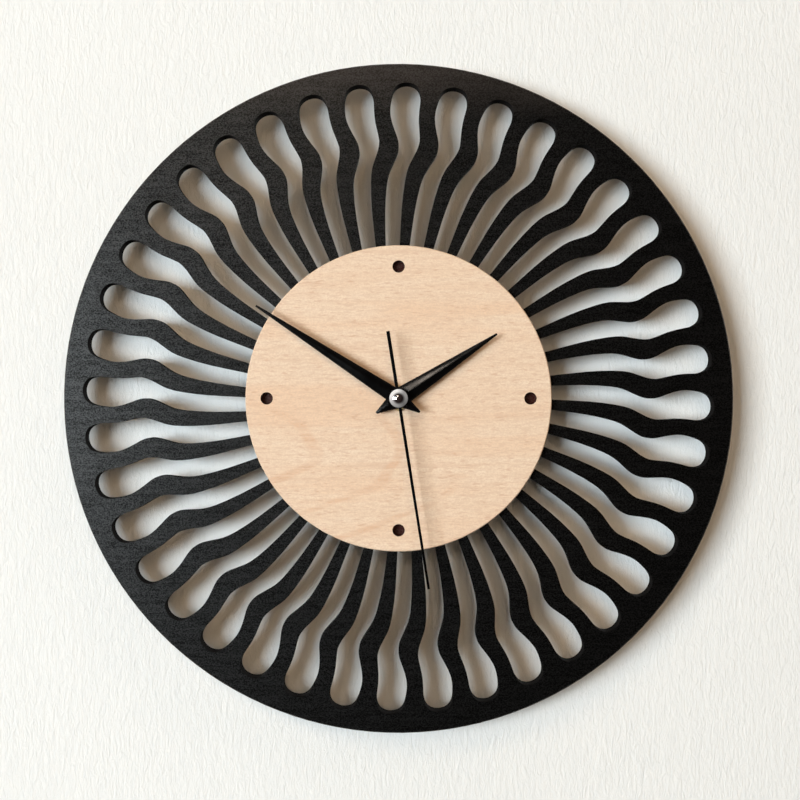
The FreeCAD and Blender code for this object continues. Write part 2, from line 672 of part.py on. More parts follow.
def strip(points, rear, front):
    """Thin metal strip on the left-hand side of a line of x and z points."""
    corners = [Vector(x, 0, z) for x, z in points]
    runs = [after - before for before, after in zip(corners, corners[1:])]
    sides = [Vector(-run.z, 0, run.x).normalize() for run in runs]
    rim = []
    for corner, before, after in zip(corners, sides[:1] + sides, sides + sides[-1:]):
        mitre = (before + after).normalize()
        rim.append(corner + mitre * (CONTACT_THICKNESS / mitre.dot(before)))
    outline = corners + rim[::-1]
    return slab([(point.x, point.z) for point in outline], rear, front)


def positive_contact():
    """Plate at the battery's nub, with a strap over the bay's wall to the circuit board."""
    middle = BATTERY_DEPTH
    half = CONTACT_WIDTH / 2
    foot = BATTERY_HEIGHT - half
    pad = block(INNER_SIDE - CONTACT_THICKNESS, INNER_SIDE, foot, ROOM_FOOT, middle - half, middle + half)
    rear = BOARD_REAR - STRAP_WIDTH
    turn = -INNER_SIDE + 2 * STRAP_WIDTH
    path = ((turn, BOARD_FOOT + STRAP_WIDTH), (turn, ROOM_FOOT), (INNER_SIDE, ROOM_FOOT))
    lead = strip(path, rear, BOARD_REAR)
    return joined([pad, lead])


def negative_contact():
    """Plate with a sprung tongue at the battery's flat end, and its strap to the board."""
    middle = BATTERY_DEPTH
    half = CONTACT_WIDTH / 2
    foot = BATTERY_HEIGHT - half
    wall = -INNER_SIDE
    top = BATTERY_HEIGHT + half
    pad = block(wall, wall + CONTACT_THICKNESS, foot, ROOM_FOOT, middle - half, middle + half)
    tongue_points = ((wall + CONTACT_THICKNESS, foot), (BATTERY_MINUS, BATTERY_HEIGHT),
                     (wall + 2 * CONTACT_THICKNESS, top))
    tongue = strip(tongue_points, middle - half / 2, middle + half / 2)
    lead = block(wall, wall + CONTACT_THICKNESS, ROOM_FOOT - CONTACT_WIDTH,
                 BOARD_FOOT + STRAP_WIDTH, BOARD_REAR, PLATE_REAR)
    return joined([pad, tongue, lead])


# Wheels that turn

def intermediate_wheel():
    at, turn = INTERMEDIATE_AT, INTERMEDIATE_TURN
    wheel = wheel_at(ROTOR_LAYER, INTERMEDIATE_TEETH, ROTOR_MESH.module, at, turn)
    leaves = pinion_at(ROTOR_LAYER, SECONDS_LAYER + WHEEL_THICKNESS + PINION_OVERRUN,
                       INTERMEDIATE_PINION_TEETH, SECONDS_MESH.module, at, turn)
    return joined([rear_arbor(at, PLATE_FRONT), wheel, leaves])


def seconds_wheel():
    wheel = wheel_at(SECONDS_LAYER, SECONDS_TEETH, SECONDS_MESH.module, CENTRE, 0.0)
    leaves = pinion_at(SECONDS_LAYER, THIRD_LAYER + WHEEL_THICKNESS + PINION_OVERRUN,
                       SECONDS_PINION_TEETH, THIRD_MESH.module, CENTRE, 0.0)
    hub = drum(SECONDS_PIN_RADIUS + ARBOR_RADIUS, CASE_WALL + BOSS_HEIGHT + LAYER_GAP, SECONDS_LAYER)
    body = joined([hub, wheel, leaves])
    return body.cut(drum(SECONDS_PIN_RADIUS, 0.0, CASE_DEPTH))


def seconds_arbor():
    return drum(SECONDS_PIN_RADIUS, CASE_WALL + SEAT_GAP, HUB_TUBE_FRONT)


def third_wheel():
    wheel = wheel_at(THIRD_LAYER, THIRD_TEETH, THIRD_MESH.module, THIRD_AT, THIRD_TURN)
    leaves = pinion_at(THIRD_LAYER, CENTRE_LAYER + WHEEL_THICKNESS + PINION_OVERRUN,
                       THIRD_PINION_TEETH, CENTRE_MESH.module, THIRD_AT, THIRD_TURN)
    return joined([rear_arbor(THIRD_AT, PLATE_FRONT), wheel, leaves])


def centre_wheel():
    wheel = wheel_at(CENTRE_LAYER, CENTRE_TEETH, CENTRE_MESH.module, CENTRE, CENTRE_MESH.second_turn)
    return wheel.cut(drum(CENTRE_SEAT_RADIUS + SHAFT_GAP, CENTRE_LAYER - OVERRUN, PLATE_REAR))


def clutch_spring():
    """Spring washer that presses the centre wheel against the minute arbor's collar."""
    radius = CENTRE_SEAT_RADIUS + CLUTCH_WIDTH
    return pipe(radius, CENTRE_SEAT_RADIUS, CLUTCH_REAR, CENTRE_LAYER)


def minute_arbor():
    bore = SECONDS_PIN_RADIUS + SHAFT_GAP
    rear = CLUTCH_REAR - PINION_OVERRUN
    body = joined([
        drum(CENTRE_SEAT_RADIUS, rear, CENTRE_WHEEL_FRONT),
        drum(CENTRE_SEAT_RADIUS + COLLAR_WIDTH, CENTRE_WHEEL_FRONT, CENTRE_WHEEL_FRONT + COLLAR_THICKNESS),
        drum(MINUTE_TUBE_RADIUS, CENTRE_WHEEL_FRONT, MINUTE_HAND_DEPTH),
        drum(MINUTE_SEAT_RADIUS, CENTRE_WHEEL_FRONT, MINUTE_NUT_FRONT),
        pinion_at(MINUTE_LAYER - PINION_OVERRUN, MINUTE_LAYER + WHEEL_THICKNESS + PINION_OVERRUN,
                  CANNON_TEETH, MINUTE_MESH.module, CENTRE, 0.0),
    ])
    return body.cut(drum(bore, rear - OVERRUN, MINUTE_NUT_FRONT + OVERRUN))


def minute_wheel():
    turn = MINUTE_TURN
    wheel = wheel_at(MINUTE_LAYER, MINUTE_TEETH, MINUTE_MESH.module, MINUTE_AT, turn)
    front = HOUR_LAYER + WHEEL_THICKNESS + PINION_OVERRUN
    leaves = pinion_at(MINUTE_LAYER, front, MINUTE_PINION_TEETH, HOUR_MESH.module, MINUTE_AT, turn)
    arbor = drum(ARBOR_RADIUS, PLATE_REAR, CASE_CEILING, MINUTE_AT)
    return joined([arbor, wheel, leaves])


def hour_wheel():
    wheel = wheel_at(HOUR_LAYER, HOUR_TEETH, HOUR_MESH.module, CENTRE, HOUR_MESH.second_turn)
    tube = drum(HOUR_TUBE_RADIUS, HOUR_LAYER, HOUR_TUBE_FRONT)
    bore = drum(MINUTE_TUBE_RADIUS + SHAFT_GAP, HOUR_LAYER - OVERRUN, HOUR_TUBE_FRONT + OVERRUN)
    return joined([wheel, tube]).cut(bore)


def hour_wheel_spring():
    """Thin dished washer that takes the end play between the hour wheel and the bush."""
    rear = HOUR_LAYER + WHEEL_THICKNESS + LAYER_GAP
    rim_rear = BUSH_REAR - HOUR_SPRING_THICKNESS
    inner = HOUR_TUBE_RADIUS + LAYER_GAP
    outer = inner + HOUR_SPRING_WIDTH
    outline = ((inner, rear), (outer, rim_rear), (outer, BUSH_REAR), (inner, rear + HOUR_SPRING_THICKNESS))
    corners = [Vector(x, -depth, 0) for x, depth in outline]
    face = Part.Face(Part.makePolygon(corners + corners[:1]))
    return face.revolve(CENTRE, SHAFT, FULL_TURN)


def setting_knob():
    """Knurled knob in the back cover, its shaft and the pinion that turns the minute wheel."""
    flange_rear = CASE_WALL + LAYER_GAP
    rear, front = KNOB_REAR, flange_rear + KNOB_FLANGE
    head = drum(KNOB_RADIUS, rear, front, KNOB_AT)
    grips = []
    for number in range(KNOB_GRIPS):
        at = KNOB_AT + spot(KNOB_RADIUS, number * FULL_TURN / KNOB_GRIPS)
        grips.append(drum(KNOB_GRIP_RADIUS, rear - OVERRUN, front + OVERRUN, at))
    head = head.cut(grips)
    half = KNOB_SLOT_WIDTH / 2
    reach = KNOB_RADIUS / 2
    head = head.cut(block(KNOB_AT.x - reach, KNOB_AT.x + reach, KNOB_AT.z - half, KNOB_AT.z + half,
                          rear - OVERRUN, rear + KNOB_SLOT_DEPTH))
    flange = drum(KNOB_RADIUS + KNOB_LIP, flange_rear, front, KNOB_AT)
    leaves_front = MINUTE_LAYER + WHEEL_THICKNESS + PINION_OVERRUN
    shaft = drum(KNOB_SHAFT_RADIUS, flange_rear, leaves_front, KNOB_AT)
    pivot = drum(ARBOR_RADIUS, flange_rear, CASE_CEILING, KNOB_AT)
    leaves = pinion_at(MINUTE_LAYER - PINION_OVERRUN, leaves_front, KNOB_TEETH, KNOB_MESH.module,
                       KNOB_AT, KNOB_MESH.second_turn)
    return joined([head, flange, shaft, pivot, leaves])


# Hands

def ridged_hand(length, tail, half_width, ridge, hub_flat_radius, bore, depth, angle):
    """Kite-shaped hand with blunt tips, a ridge along its middle and a flat round hub."""
    back, edge = -depth, -(depth + HAND_EDGE)
    tip = HAND_TIP_WIDTH / 2
    plan = ((-tip, length), (tip, length), (half_width, 0), (tip, -tail), (-tip, -tail), (-half_width, 0))
    rear = [Vector(x, back, z) for x, z in plan]
    rim = [Vector(x, edge, z) for x, z in plan]
    peak = Vector(0, -(depth + ridge), 0)
    faces = [Part.Face(Part.makePolygon(rear + rear[:1]))]
    for index in range(len(plan)):
        after = (index + 1) % len(plan)
        side = (rear[index], rear[after], rim[after], rim[index], rear[index])
        faces.append(Part.Face(Part.makePolygon(side)))
        faces.append(Part.Face(Part.makePolygon((rim[index], rim[after], peak, rim[index]))))
    body = Part.makeSolid(Part.makeShell(faces))
    front = depth + ridge + OVERRUN
    body = body.cut(drum(hub_flat_radius, depth + HUB_FLAT, front))
    body = body.cut(drum(bore, depth - OVERRUN, front))
    return spun(body, angle)


def hour_hand():
    return ridged_hand(HOUR_HAND_LENGTH, HOUR_HAND_TAIL, HOUR_HAND_HALF_WIDTH, HOUR_HAND_RIDGE,
                       HOUR_HUB_FLAT_RADIUS, HOUR_TUBE_RADIUS, HOUR_HAND_DEPTH, HOUR_HAND_ANGLE)


def minute_hand():
    return ridged_hand(MINUTE_HAND_LENGTH, MINUTE_HAND_TAIL, MINUTE_HAND_HALF_WIDTH,
                       MINUTE_HAND_RIDGE, MINUTE_HUB_FLAT_RADIUS, MINUTE_SEAT_RADIUS,
                       MINUTE_HAND_DEPTH, MINUTE_HAND_ANGLE)


def second_hand():
    half_tail, half_tip = SECOND_HAND_TAIL_WIDTH / 2, SECOND_HAND_TIP_WIDTH / 2
    plan = ((-half_tail, -SECOND_HAND_TAIL), (half_tail, -SECOND_HAND_TAIL),
            (half_tip, SECOND_HAND_LENGTH), (-half_tip, SECOND_HAND_LENGTH))
    blade = slab(plan, SECOND_HAND_DEPTH, SECOND_HAND_FRONT)
    boss = drum(HUB_TUBE_RADIUS + SECOND_BOSS_WIDTH, SECOND_HAND_DEPTH, SECOND_HAND_FRONT)
    body = joined([blade, boss])
    body = body.cut(drum(HUB_TUBE_RADIUS, SECOND_HAND_DEPTH - OVERRUN, SECOND_HAND_FRONT + OVERRUN))
    return spun(body, SECOND_HAND_ANGLE)


def second_hand_cap():
    """Polished domed cap pressed over the second hand's tube."""
    rear = SECOND_HAND_FRONT
    front = rear + CAP_HEIGHT
    skirt = rear + CAP_SKIRT
    rise = CAP_HEIGHT - CAP_SKIRT
    dome_radius = (CAP_RADIUS ** 2 + rise ** 2) / (2 * rise)
    middle = Vector(0, -(front - dome_radius), 0)
    turn = math.asin(CAP_RADIUS / dome_radius) / 2
    shoulder = middle + Vector(math.sin(turn), -math.cos(turn), 0) * dome_radius
    outline = [
        Part.makeLine(Vector(0, -rear, 0), Vector(CAP_RADIUS, -rear, 0)),
        Part.makeLine(Vector(CAP_RADIUS, -rear, 0), Vector(CAP_RADIUS, -skirt, 0)),
        Part.Arc(Vector(CAP_RADIUS, -skirt, 0), shoulder, Vector(0, -front, 0)).toShape(),
        Part.makeLine(Vector(0, -front, 0), Vector(0, -rear, 0)),
    ]
    body = Part.Face(Part.Wire(outline)).revolve(CENTRE, SHAFT, FULL_TURN)
    return body.cut(drum(HUB_TUBE_RADIUS, rear - OVERRUN, rear + CAP_SOCKET_DEPTH))


def second_hand_hub():
    rear = MINUTE_NUT_FRONT + LAYER_GAP
    return pipe(HUB_TUBE_RADIUS, SECONDS_PIN_RADIUS, rear, HUB_TUBE_FRONT)


def build():
    os.makedirs("parts", exist_ok=True)
    save("wave_ring", wave_ring())
    save("face_disc", face_disc())
    save("movement_front_case", front_case())
    save("movement_back_cover", back_cover())
    save("threaded_bush", threaded_bush())
    save("rubber_washer", pipe(WASHER_RADIUS, BUSH_RADIUS, CASE_DEPTH, CASE_DEPTH + WASHER_THICKNESS))
    save("shaft_nut", shaft_nut())
    save("train_plate", train_plate())
    save("coil_bobbin", coil_bobbin())
    save("coil_winding", coil_winding())
    save("coil_core", coil_core())
    save("stator", stator())
    save("circuit_board", circuit_board())
    save("controller_chip", controller_chip())
    save("quartz_crystal", quartz_crystal())
    save("battery", battery())
    save("positive_contact", positive_contact())
    save("negative_contact", negative_contact())
    save("rotor_magnet", rotor_magnet())
    save("rotor_pinion", rotor_pinion())
    save("intermediate_wheel", intermediate_wheel())
    save("seconds_wheel", seconds_wheel())
    save("seconds_arbor", seconds_arbor())
    save("third_wheel", third_wheel())
    save("centre_wheel", centre_wheel())
    save("clutch_spring", clutch_spring())
    save("minute_arbor", minute_arbor())
    save("minute_wheel", minute_wheel())
    save("hour_wheel", hour_wheel())
    save("hour_wheel_spring", hour_wheel_spring())
    save("setting_knob", setting_knob())
    save("hour_hand", hour_hand())
    collet_rear = HOUR_HAND_DEPTH - COLLET_LENGTH
    collet_radius = HOUR_TUBE_RADIUS + COLLET_WALL
    save("hour_hand_collet", pipe(collet_radius, HOUR_TUBE_RADIUS, collet_rear, HOUR_HAND_DEPTH))
    save("minute_hand", minute_hand())
    nut_radius = MINUTE_SEAT_RADIUS + MINUTE_NUT_WALL
    save("minute_nut", pipe(nut_radius, MINUTE_SEAT_RADIUS, MINUTE_NUT_REAR, MINUTE_NUT_FRONT))
    save("second_hand", second_hand())
    save("second_hand_hub", second_hand_hub())
    save("second_hand_cap", second_hand_cap())


build()
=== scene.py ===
"""Looks of the slotted black wall clock: materials, wall, light and camera."""
import math

import bpy
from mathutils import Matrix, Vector

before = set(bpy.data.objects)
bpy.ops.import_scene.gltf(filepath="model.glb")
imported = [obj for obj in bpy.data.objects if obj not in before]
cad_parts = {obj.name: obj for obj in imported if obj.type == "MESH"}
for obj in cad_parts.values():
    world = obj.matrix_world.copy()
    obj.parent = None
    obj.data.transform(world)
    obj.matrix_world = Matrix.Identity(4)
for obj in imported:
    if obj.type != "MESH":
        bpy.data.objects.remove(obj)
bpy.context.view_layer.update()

MM = 0.001                      # the scene is in metres
COLOUR_A, COLOUR_B = 6, 7       # the two colour inputs of a Mix node


# Node helpers

class Graph:
    """Short ways to add nodes to a material or to the world."""

    def __init__(self, tree):
        self.tree = tree

    def node(self, kind, **settings):
        made = self.tree.nodes.new(kind)
        for key, value in settings.items():
            setattr(made, key, value)
        return made

    def link(self, source, target):
        self.tree.links.new(source, target)

    def feed(self, socket, value):
        """A number, a colour or another node's output goes into a socket."""
        if isinstance(value, bpy.types.NodeSocket):
            self.link(value, socket)
            return
        is_colour = isinstance(value, (tuple, list)) and len(value) == 3
        if is_colour and len(socket.default_value) == 4:
            value = (*value, 1.0)
        socket.default_value = value

    def math(self, operation, one, two):
        made = self.node("ShaderNodeMath", operation=operation)
        self.feed(made.inputs[0], one)
        self.feed(made.inputs[1], two)
        return made.outputs[0]

    def plus(self, one, two):
        return self.math("ADD", one, two)

    def minus(self, one, two):
        return self.math("SUBTRACT", one, two)

    def times(self, one, two):
        return self.math("MULTIPLY", one, two)

    def span(self, value, low, high, least=0.0):
        """Runs from the least value at low to 1 at high."""
        made = self.node("ShaderNodeMapRange")
        self.feed(made.inputs["Value"], value)
        made.inputs["From Min"].default_value = low
        made.inputs["From Max"].default_value = high
        made.inputs["To Min"].default_value = least
        return made.outputs["Result"]

    def ramp(self, source, stops):
        """Colour ramp whose stops are (place, colour or grey)."""
        made = self.node("ShaderNodeValToRGB")
        self.feed(made.inputs["Fac"], source)
        band = made.color_ramp
        while len(band.elements) < len(stops):
            band.elements.new(0.5)
        for element, (place, colour) in zip(band.elements, stops):
            element.position = place
            grey = not isinstance(colour, (tuple, list))
            element.color = (colour, colour, colour, 1) if grey else (*colour, 1)
        return made.outputs["Color"]

    def mix(self, share, one, two, blend="MIX"):
        """The first colour gives way to the second by the share."""
        made = self.node("ShaderNodeMix", data_type="RGBA", blend_type=blend)
        self.feed(made.inputs["Factor"], share)
        self.feed(made.inputs[COLOUR_A], one)
        self.feed(made.inputs[COLOUR_B], two)
        return made.outputs[2]


class Shade(Graph):
    """A material whose patterns lie in its object's own coordinates."""

    def __init__(self, name):
        self.material = bpy.data.materials.new(name)
        self.material.use_nodes = True
        super().__init__(self.material.node_tree)
        self.tree.nodes.clear()
        self.out = self.node("ShaderNodeOutputMaterial")
        self.place = None

    def coords(self, scale=(1, 1, 1), turn=(0, 0, 0), shift=(0, 0, 0)):
        """The object's own coordinates, in metres, stretched, turned and shifted."""
        if self.place is None:
            self.place = self.node("ShaderNodeTexCoord").outputs["Object"]
        mapping = self.node("ShaderNodeMapping")
        self.feed(mapping.inputs["Vector"], self.place)
        mapping.inputs["Scale"].default_value = scale
        mapping.inputs["Rotation"].default_value = turn
        mapping.inputs["Location"].default_value = shift
        return mapping.outputs["Vector"]

    def along(self, axis):
        """One of the object's own coordinates, in metres."""
        made = self.node("ShaderNodeSeparateXYZ")
        self.link(self.coords(), made.inputs[0])
        return made.outputs[axis]

    def radius(self):
        """Distance from the hands' shaft, in metres."""
        made = self.node("ShaderNodeVectorMath", operation="LENGTH")
        self.link(self.coords((1, 0, 1)), made.inputs[0])
        return made.outputs["Value"]

    def frontal(self):
        """1 on faces towards the room, 0 on the walls of holes, -1 on faces towards the wall."""
        made = self.node("ShaderNodeSeparateXYZ")
        self.link(self.node("ShaderNodeTexCoord").outputs["Normal"], made.inputs[0])
        return self.times(made.outputs["Y"], -1.0)

    def flat(self):
        """1 on front and rear faces, 0 on the walls of holes and on the rim."""
        return self.math("ABSOLUTE", self.frontal(), 0.0)

    def noise(self, vector, scale, detail=3.0, rough=0.5, warp=0.0):
        made = self.node("ShaderNodeTexNoise")
        self.feed(made.inputs["Vector"], vector)
        made.inputs["Scale"].default_value = scale
        made.inputs["Detail"].default_value = detail
        made.inputs["Roughness"].default_value = rough
        made.inputs["Distortion"].default_value = warp
        return made.outputs["Fac"]

    def bump(self, height, distance, strength=1.0, under=None):
        made = self.node("ShaderNodeBump")
        self.feed(made.inputs["Height"], height)
        made.inputs["Distance"].default_value = distance
        made.inputs["Strength"].default_value = strength
        if under is not None:
            self.link(under, made.inputs["Normal"])
        return made.outputs["Normal"]

    def surface(self, colour, rough, normal, **sockets):
        made = self.node("ShaderNodeBsdfPrincipled")
        self.feed(made.inputs["Base Color"], colour)
        self.feed(made.inputs["Roughness"], rough)
        for key, value in sockets.items():
            self.feed(made.inputs[key.replace("_", " ")], value)
        self.link(normal, made.inputs["Normal"])
        self.link(made.outputs["BSDF"], self.out.inputs["Surface"])
        return made


def dress(material, *nodes):
    """Put a material on CAD nodes."""
    for name in nodes:
        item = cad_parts[name]
        if not item.material_slots:
            item.data.materials.append(material)
        for place in item.material_slots:
            place.material = material


# Wood

HOLE_WALL = (0.5, 0.1)              # from a flat face to the wall of a hole, by flat()
FRONT_FACE = (0.4, 0.6)             # from the wall of a hole to the front, by frontal()
CHAMFER = ((0.60, 0.0), (0.68, 1.0), (0.76, 1.0), (0.84, 0.0))      # 45 degrees, by flat()
INNER_DISC = (0.0655, 0.0645)       # radii at which the birch disc's inner part begins
RING_TOP = (0.125, 0.150)           # heights between which the stain on the ring thins and the ring's top is lightened by a painted sheen


def black_wood():
    """Black-stained plywood: horizontal grain and a fine speckle in its faint sheen."""
    s = Shade("black_stained_plywood")
    grain = s.noise(s.coords((60, 60, 560)), 1.0, 5.0, 0.66, 0.3)
    pores = s.noise(s.coords((90, 400, 2300), shift=(3, 1, 2)), 1.0, 3.0, 0.6)
    speck = s.noise(s.coords((1400, 1400, 1800), shift=(4, 6, 1)), 1.0, 2.0, 0.7)
    cloud = s.noise(s.coords((9, 9, 16)), 1.0, 2.0, 0.5)
    dots = s.ramp(pores, [(0.36, 1.0), (0.47, 0.0)])
    patchy = s.ramp(cloud, [(0.35, 0.2), (0.65, 1.0)])
    cut = s.span(s.flat(), *HOLE_WALL)
    tone = s.ramp(s.plus(s.times(grain, 0.6), s.times(cloud, 0.4)),
                  [(0.30, (0.0009, 0.0009, 0.0008)), (0.55, (0.0014, 0.0013, 0.0012)),
                   (0.75, (0.0028, 0.0024, 0.0021))])
    colour = s.mix(s.times(dots, 0.5), tone, (0.0010, 0.0010, 0.0010))
    # The ring's top is painted lighter: partly its thinned stain, partly a painted sheen
    # standing in for light from the upper left.
    thin_stain_and_painted_sheen = s.times(s.span(s.along("Z"), *RING_TOP), patchy)
    colour = s.mix(thin_stain_and_painted_sheen, colour, (0.0270, 0.0215, 0.0185))
    below_dots = s.times(s.span(s.radius(), *INNER_DISC), s.span(s.frontal(), *FRONT_FACE))
    colour = s.mix(below_dots, colour, (0.045, 0.012, 0.009))
    rubbed_edge = s.times(s.ramp(s.flat(), CHAMFER), patchy)
    colour = s.mix(rubbed_edge, colour, (0.030, 0.021, 0.016))
    colour = s.mix(cut, colour, (0.0022, 0.0016, 0.0013))
    rough = s.mix(cut, s.ramp(grain, [(0.25, 0.278), (0.75, 0.302)]), (0.9, 0.9, 0.9))
    height = s.minus(s.times(grain, 0.12), s.times(dots, 0.08))
    normal = s.bump(s.plus(height, speck), 0.20 * MM, 0.32)
    lustre = s.ramp(s.plus(speck, s.times(grain, 0.35)), [(0.55, 0.05), (0.80, 0.51)])
    sheen = s.times(s.span(cut, 1.0, 0.0), lustre)
    s.surface(colour, rough, normal, Specular_IOR_Level=s.plus(sheen, 0.03),
              Specular_Tint=(1.0, 0.975, 0.94))
    return s.material


def birch():
    """Bare sanded birch: pale and warm, with a fine horizontal grain, flecks and a figure."""
    s = Shade("sanded_birch")
    flow = s.noise(s.coords((6, 9, 62), (0, 0.06, 0), (1.7, 0, 0.4)), 1.0, 3.0, 0.5, 0.8)
    lines = s.noise(s.coords((20, 40, 420), shift=(0, 0, 3)), 1.0, 4.0, 0.6, 0.6)
    fine = s.noise(s.coords((300, 500, 1500)), 1.0, 3.0, 0.65)
    fleck = s.noise(s.coords((270, 600, 1450), shift=(5, 2, 9)), 1.0, 2.0, 0.5)
    pulp = s.noise(s.coords((1100, 900, 1300), shift=(2, 2, 5)), 1.0, 2.0, 0.6)
    figure = s.node("ShaderNodeTexWave", wave_type="RINGS", rings_direction="Y",
                    wave_profile="SIN")
    s.feed(figure.inputs["Vector"], s.coords((0.385, 1.0, 1.0), shift=(0.035, 0, 0.018)))
    figure.inputs["Scale"].default_value = 22.0
    figure.inputs["Distortion"].default_value = 4.0
    figure.inputs["Detail"].default_value = 2.0
    figure.inputs["Detail Scale"].default_value = 1.3
    stripe = s.ramp(figure.outputs["Fac"], [(0.91, 0.0), (0.99, 0.80), (1.0, 0.70)])
    stripe = s.times(stripe, s.ramp(lines, [(0.36, 0.95), (0.62, 0.30)]))
    lower_left = s.times(s.span(s.along("Z"), 0.008, -0.016), s.span(s.along("X"), 0.045, 0.0))
    colour = s.ramp(lines, [(0.28, (0.750, 0.550, 0.395)), (0.50, (0.808, 0.632, 0.469)),
                            (0.72, (0.835, 0.678, 0.521))])
    colour = s.mix(s.ramp(flow, [(0.46, 0.0), (0.66, 0.75)]), colour, (0.795, 0.562, 0.385))
    colour = s.mix(s.times(lower_left, stripe), colour, (0.690, 0.430, 0.270))
    colour = s.mix(s.ramp(fleck, [(0.59, 0.0), (0.70, 0.55)]), colour, (0.58, 0.33, 0.21))
    colour = s.mix(s.ramp(fine, [(0.36, 0.40), (0.54, 0.0)]), colour, (0.60, 0.39, 0.27))
    colour = s.mix(s.ramp(pulp, [(0.40, 0.50), (0.58, 0.0)]), colour, (0.68, 0.49, 0.35))
    burnt_hole = s.times(s.span(s.flat(), *HOLE_WALL), s.span(s.radius(), *INNER_DISC))
    colour = s.mix(burnt_hole, colour, (0.060, 0.022, 0.014))
    rough = s.ramp(fine, [(0.3, 0.62), (0.7, 0.50)])
    normal = s.bump(s.plus(fine, s.times(lines, 0.5)), 0.10 * MM, 0.35)
    s.surface(colour, rough, normal, Specular_IOR_Level=0.30)
    return s.material


# Metal

def turned(name, colour, dark, rough=0.28):
    """Metal with fine turned or drawn lines."""
    s = Shade(name)
    lines = s.noise(s.coords((900, 72, 900)), 1.0, 3.0, 0.6)
    stain = s.noise(s.coords(), 260.0, 3.0, 0.55)
    tone = s.mix(s.ramp(stain, [(0.40, 0.0), (0.75, 0.55)]), colour, dark)
    roughness = s.ramp(lines, [(0.3, rough), (0.7, rough + 0.12)])
    s.surface(tone, roughness, s.bump(lines, 0.02 * MM, 0.4), Metallic=1.0)
    return s.material


def chrome():
    """Polished plating with the slightest waviness and a few hairlines."""
    s = Shade("polished_chrome")
    wave = s.noise(s.coords(), 420.0, 2.0, 0.4)
    hair = s.noise(s.coords((2600, 160, 900), (0.3, 0.6, 0.2)), 1.0, 2.0, 0.5)
    rough = s.ramp(hair, [(0.55, 0.055), (0.75, 0.14)])
    bright, dim = (0.94, 0.93, 0.92), (0.86, 0.85, 0.85)
    tone = s.mix(s.ramp(wave, [(0.3, 0.0), (0.8, 0.5)]), bright, dim)
    s.surface(tone, rough, s.bump(wave, 0.03 * MM, 0.25), Metallic=1.0)
    return s.material


RIDGE_ROUNDING = 1.2 * MM
SHEET_ROUNDING = 0.1 * MM


def black_enamel(name, rounding):
    """Black satin enamel on thin pressed aluminium, its edges softened by the paint."""
    s = Shade(name)
    peel = s.noise(s.coords(), 2100.0, 2.0, 0.5)
    cloud = s.noise(s.coords(), 120.0, 2.0, 0.5)
    colour = s.ramp(cloud, [(0.3, (0.0011, 0.0011, 0.0012)), (0.7, (0.0019, 0.0019, 0.0019))])
    rough = s.ramp(cloud, [(0.3, 0.15), (0.7, 0.22)])
    round_edge = s.node("ShaderNodeBevel", samples=6)
    round_edge.inputs["Radius"].default_value = rounding
    normal = s.bump(peel, 0.010 * MM, 0.35, round_edge.outputs["Normal"])
    s.surface(colour, rough, normal, Specular_IOR_Level=0.30)
    return s.material


# Plastic, rubber and the movement's inside

def moulded(name, colour, rough=0.42, grain=1500.0, depth=0.03 * MM):
    """Moulded plastic with a fine spark-eroded grain and faint cloudiness."""
    s = Shade(name)
    pits = s.noise(s.coords(), grain, 2.0, 0.6)
    cloud = s.noise(s.coords(), 55.0, 3.0, 0.5)
    darker = tuple(value * 0.80 for value in colour)
    tone = s.mix(s.ramp(cloud, [(0.35, 0.0), (0.70, 0.6)]), colour, darker)
    roughness = s.ramp(cloud, [(0.3, rough - 0.05), (0.7, rough + 0.08)])
    s.surface(tone, roughness, s.bump(pits, depth, 0.5))
    return s.material


def acetal(name, colour, rough=0.36):
    """The slippery plastic of the wheels, finer in its grain."""
    return moulded(name, colour, rough, grain=2400.0, depth=0.01 * MM)


def copper_winding():
    """Enamelled copper wire in close turns along the coil, with painted shade in the grooves
    between the turns.
    """
    s = Shade("copper_winding")
    turns = s.node("ShaderNodeTexWave", wave_type="BANDS", bands_direction="X")
    s.feed(turns.inputs["Vector"], s.coords())
    turns.inputs["Scale"].default_value = 1400.0
    turns.inputs["Distortion"].default_value = 0.3
    wire_and_groove_shade = turns.outputs["Fac"]
    # painted shade: the copper is darker in the grooves between the turns
    tone = s.ramp(wire_and_groove_shade, [(0.1, (0.23, 0.075, 0.030)), (0.8, (0.62, 0.25, 0.11))])
    rough = s.ramp(wire_and_groove_shade, [(0.0, 0.34), (1.0, 0.22)])
    s.surface(tone, rough, s.bump(wire_and_groove_shade, 0.06 * MM, 0.8), Metallic=1.0)
    return s.material


def sleeve():
    """Plain shrunk sleeve of the battery, unmarked."""
    s = Shade("plain_battery_sleeve")
    cloud = s.noise(s.coords(), 140.0, 2.0, 0.5)
    colour = s.ramp(cloud, [(0.3, (0.030, 0.034, 0.042)), (0.7, (0.043, 0.047, 0.055))])
    rough = s.ramp(cloud, [(0.3, 0.22), (0.7, 0.30)])
    s.surface(colour, rough, s.bump(cloud, 0.04 * MM, 0.3))
    return s.material


